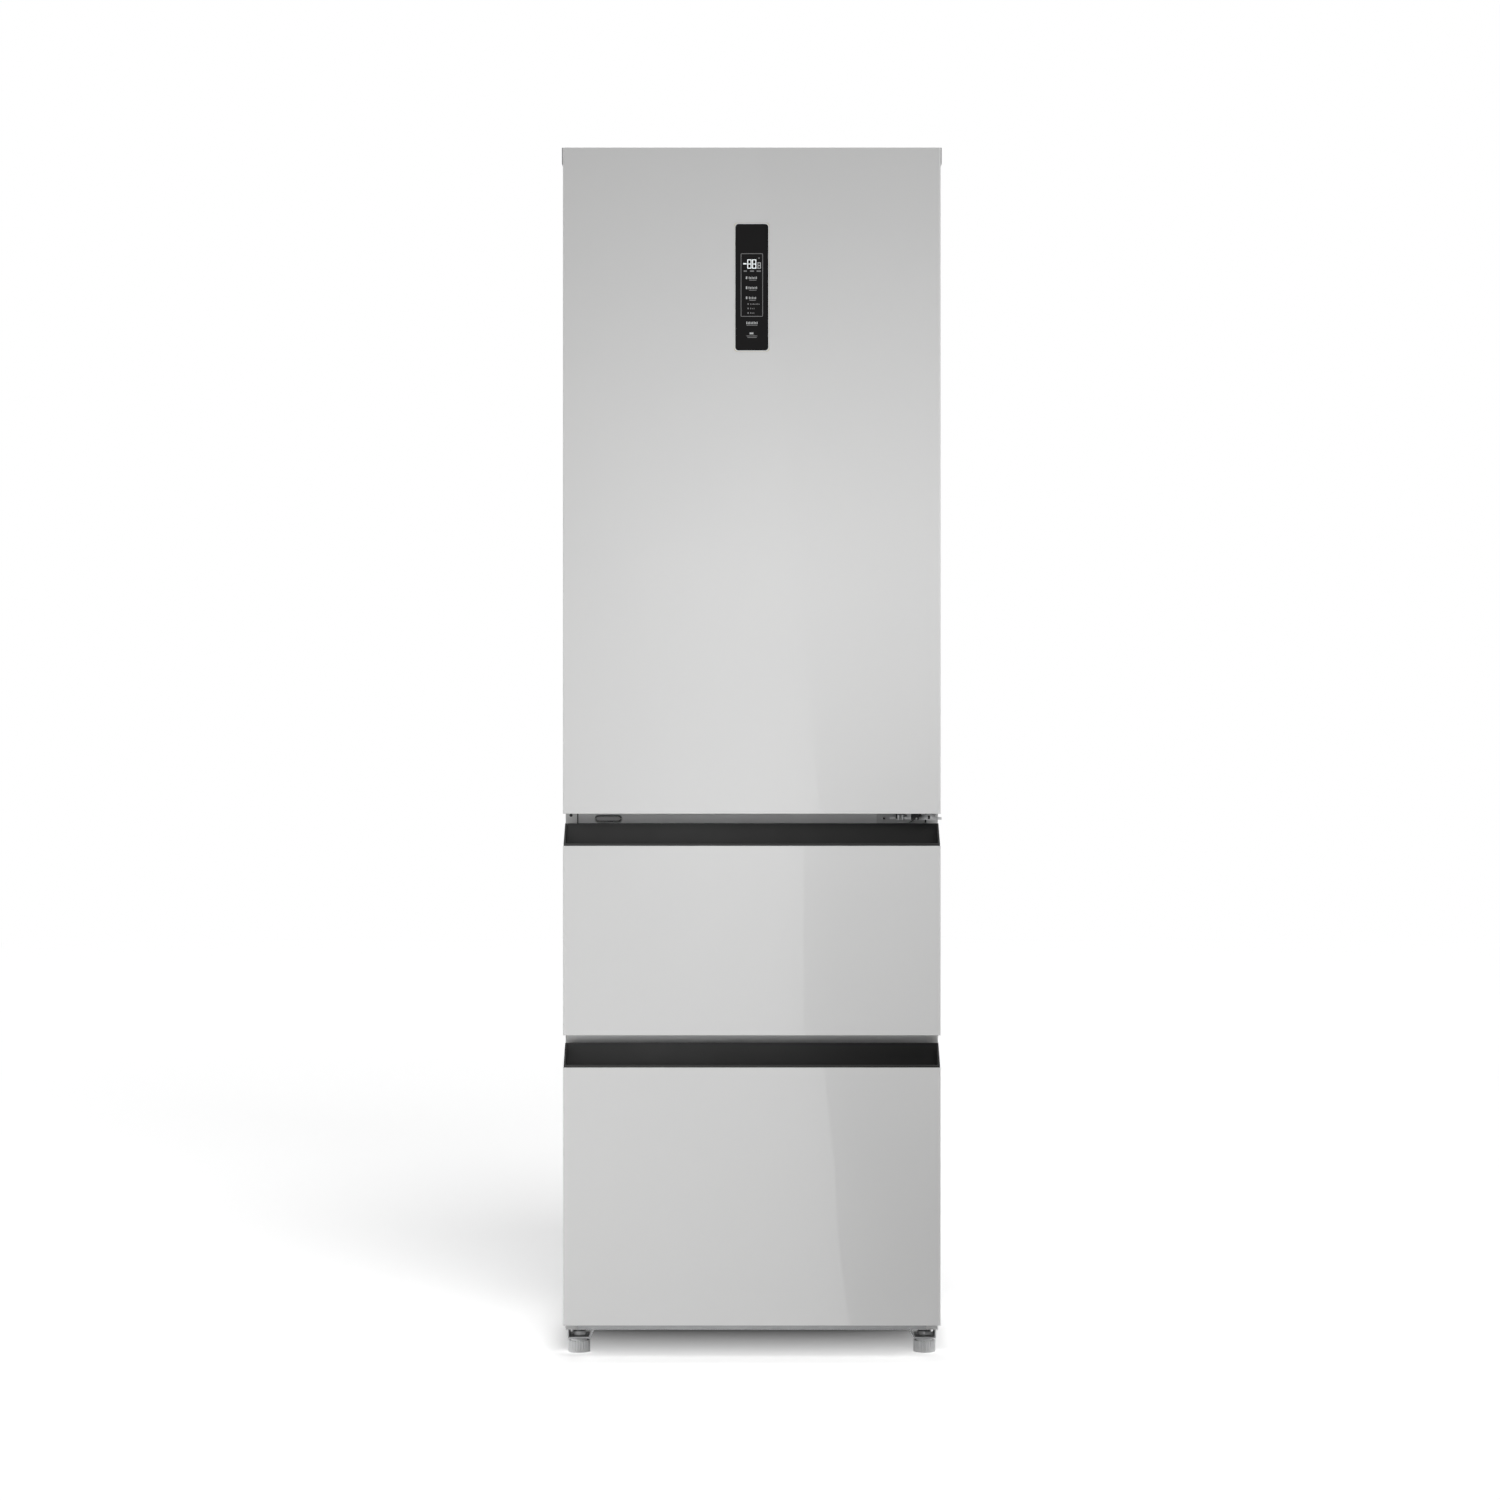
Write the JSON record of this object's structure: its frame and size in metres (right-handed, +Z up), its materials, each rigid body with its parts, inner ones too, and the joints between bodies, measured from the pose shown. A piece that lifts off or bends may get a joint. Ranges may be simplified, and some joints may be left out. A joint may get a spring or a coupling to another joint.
{
  "type": "fridge freezer",
  "caption": "Tall free-standing fridge freezer with a hinged fridge door over two pull-out freezer drawers with full-width black grips.",
  "frame": {"origin": "on the floor, under the centre of the outline", "axes": "+X to the right seen from the front, +Y to the back, +Z up"},
  "size_m": [0.6, 0.66, 1.906],
  "materials": {
    "white_steel": "gloss",
    "beam_steel": "satin",
    "zinc_sheet": "satin",
    "foam": "matte",
    "white_liner": "satin",
    "grey_plastic": "satin",
    "dark_plastic": "matte",
    "grip_black": "satin",
    "hinge_steel": "satin",
    "slide_steel": "satin",
    "compressor_black": "gloss",
    "rubber": "matte",
    "aluminium": "satin",
    "lamp_white": "satin",
    "shelf_glass": "gloss",
    "gasket_grey": "matte",
    "display_glass": "gloss",
    "clear_plastic": "gloss",
    "fan_grey": "satin",
    "foot_grey": "satin",
    "roller_black": "matte"
  },
  "bodies": {
    "cabinet": {"outer_shell": "white_steel", "back_panel": "zinc_sheet", "insulation_foam": "foam", "fridge_liner": "white_liner", "freezer_liner": "white_liner", "base_pan": "zinc_sheet", "upper_crossbeam": "beam_steel", "lower_crossbeam": "beam_steel", "top_trim": "grey_plastic", "hinge_plug": "grey_plastic", "top_hinge": "hinge_steel", "middle_hinge": "hinge_steel", "hinge_screws": "hinge_steel", "compressor": "compressor_black", "compressor_mounts": "rubber", "machine_cover": "zinc_sheet", "drip_tray": "dark_plastic", "condenser_coil": "compressor_black", "fan_shroud": "dark_plastic", "evaporator": "aluminium", "evaporator_cover": "white_liner", "air_duct": "white_liner", "lamp_lens": "lamp_white", "cord_gland": "dark_plastic", "fixed_rails": "slide_steel", "crisper_cover": "shelf_glass", "shelf_top": "shelf_glass", "shelf_middle": "shelf_glass", "shelf_trims": "grey_plastic"},
    "door": {"door_panel": "white_steel", "door_foam": "foam", "door_liner": "white_liner", "door_gasket": "gasket_grey", "door_top_cap": "grey_plastic", "door_bottom_cap": "dark_plastic", "display_glass": "display_glass"},
    "top_bin": {"bin_top": "clear_plastic"},
    "middle_bin": {"bin_middle": "clear_plastic"},
    "bottle_bin": {"bin_bottle": "clear_plastic"},
    "upper_drawer": {"upper_front_panel": "white_steel", "upper_front_core": "white_liner", "upper_gasket": "gasket_grey", "upper_grip": "grip_black", "upper_box": "clear_plastic", "upper_inner_rails": "slide_steel"},
    "upper_slides": {"upper_mid_rails": "slide_steel"},
    "lower_drawer": {"lower_front_panel": "white_steel", "lower_front_core": "white_liner", "lower_gasket": "gasket_grey", "lower_grip": "grip_black", "lower_box": "clear_plastic", "lower_inner_rails": "slide_steel"},
    "lower_slides": {"lower_mid_rails": "slide_steel"},
    "crisper": {"crisper_drawer": "clear_plastic"},
    "freezer_fan": {"evaporator_fan": "fan_grey"},
    "machine_fan": {"condenser_fan": "dark_plastic"},
    "left_foot": {"front_foot_left": "foot_grey"},
    "right_foot": {"front_foot_right": "foot_grey"},
    "left_roller": {"roller_left": "roller_black"},
    "right_roller": {"roller_right": "roller_black"}
  },
  "joints": [
    {"name": "door_hinge", "type": "hinge", "parent": "cabinet", "child": "door", "pos_m": [0.285, -0.308, 1.375], "axis": [0, 0, 1], "range_deg": [0, 120]},
    {"name": "top_bin_lift", "type": "slide", "parent": "door", "child": "top_bin", "axis": [0, 0, 1], "range_m": [0, 0.03]},
    {"name": "middle_bin_lift", "type": "slide", "parent": "door", "child": "middle_bin", "axis": [0, 0, 1], "range_m": [0, 0.03]},
    {"name": "bottle_bin_lift", "type": "slide", "parent": "door", "child": "bottle_bin", "axis": [0, 0, 1], "range_m": [0, 0.03]},
    {"name": "upper_drawer_slide", "type": "slide", "parent": "cabinet", "child": "upper_drawer", "axis": [0, -1, 0], "range_m": [0, 0.38]},
    {"name": "upper_slides_slide", "type": "slide", "parent": "cabinet", "child": "upper_slides", "axis": [0, -1, 0], "range_m": [0, 0.19]},
    {"name": "lower_drawer_slide", "type": "slide", "parent": "cabinet", "child": "lower_drawer", "axis": [0, -1, 0], "range_m": [0, 0.28]},
    {"name": "lower_slides_slide", "type": "slide", "parent": "cabinet", "child": "lower_slides", "axis": [0, -1, 0], "range_m": [0, 0.14]},
    {"name": "crisper_slide", "type": "slide", "parent": "cabinet", "child": "crisper", "axis": [0, -1, 0], "range_m": [0, 0.04]},
    {"name": "freezer_fan_spin", "type": "hinge", "parent": "cabinet", "child": "freezer_fan", "pos_m": [0, 0.205, 0.69], "axis": [0, 1, 0], "continuous": true},
    {"name": "machine_fan_spin", "type": "hinge", "parent": "cabinet", "child": "machine_fan", "pos_m": [0.02, 0.216, 0.133], "axis": [1, 0, 0], "continuous": true},
    {"name": "left_foot_turn", "type": "hinge", "parent": "cabinet", "child": "left_foot", "pos_m": [-0.274, -0.2325, 0.03], "axis": [0, 0, 1], "range_deg": [-720, 720]},
    {"name": "right_foot_turn", "type": "hinge", "parent": "cabinet", "child": "right_foot", "pos_m": [0.274, -0.2325, 0.03], "axis": [0, 0, 1], "range_deg": [-720, 720]},
    {"name": "left_roller_spin", "type": "hinge", "parent": "cabinet", "child": "left_roller", "pos_m": [-0.262, 0.282, 0.017], "axis": [1, 0, 0], "continuous": true},
    {"name": "right_roller_spin", "type": "hinge", "parent": "cabinet", "child": "right_roller", "pos_m": [0.262, 0.282, 0.017], "axis": [1, 0, 0], "continuous": true}
  ],
  "couplings": [
    {"joint": "upper_slides_slide", "follows": "upper_drawer_slide", "ratio": 0.5},
    {"joint": "lower_slides_slide", "follows": "lower_drawer_slide", "ratio": 0.5}
  ]
}
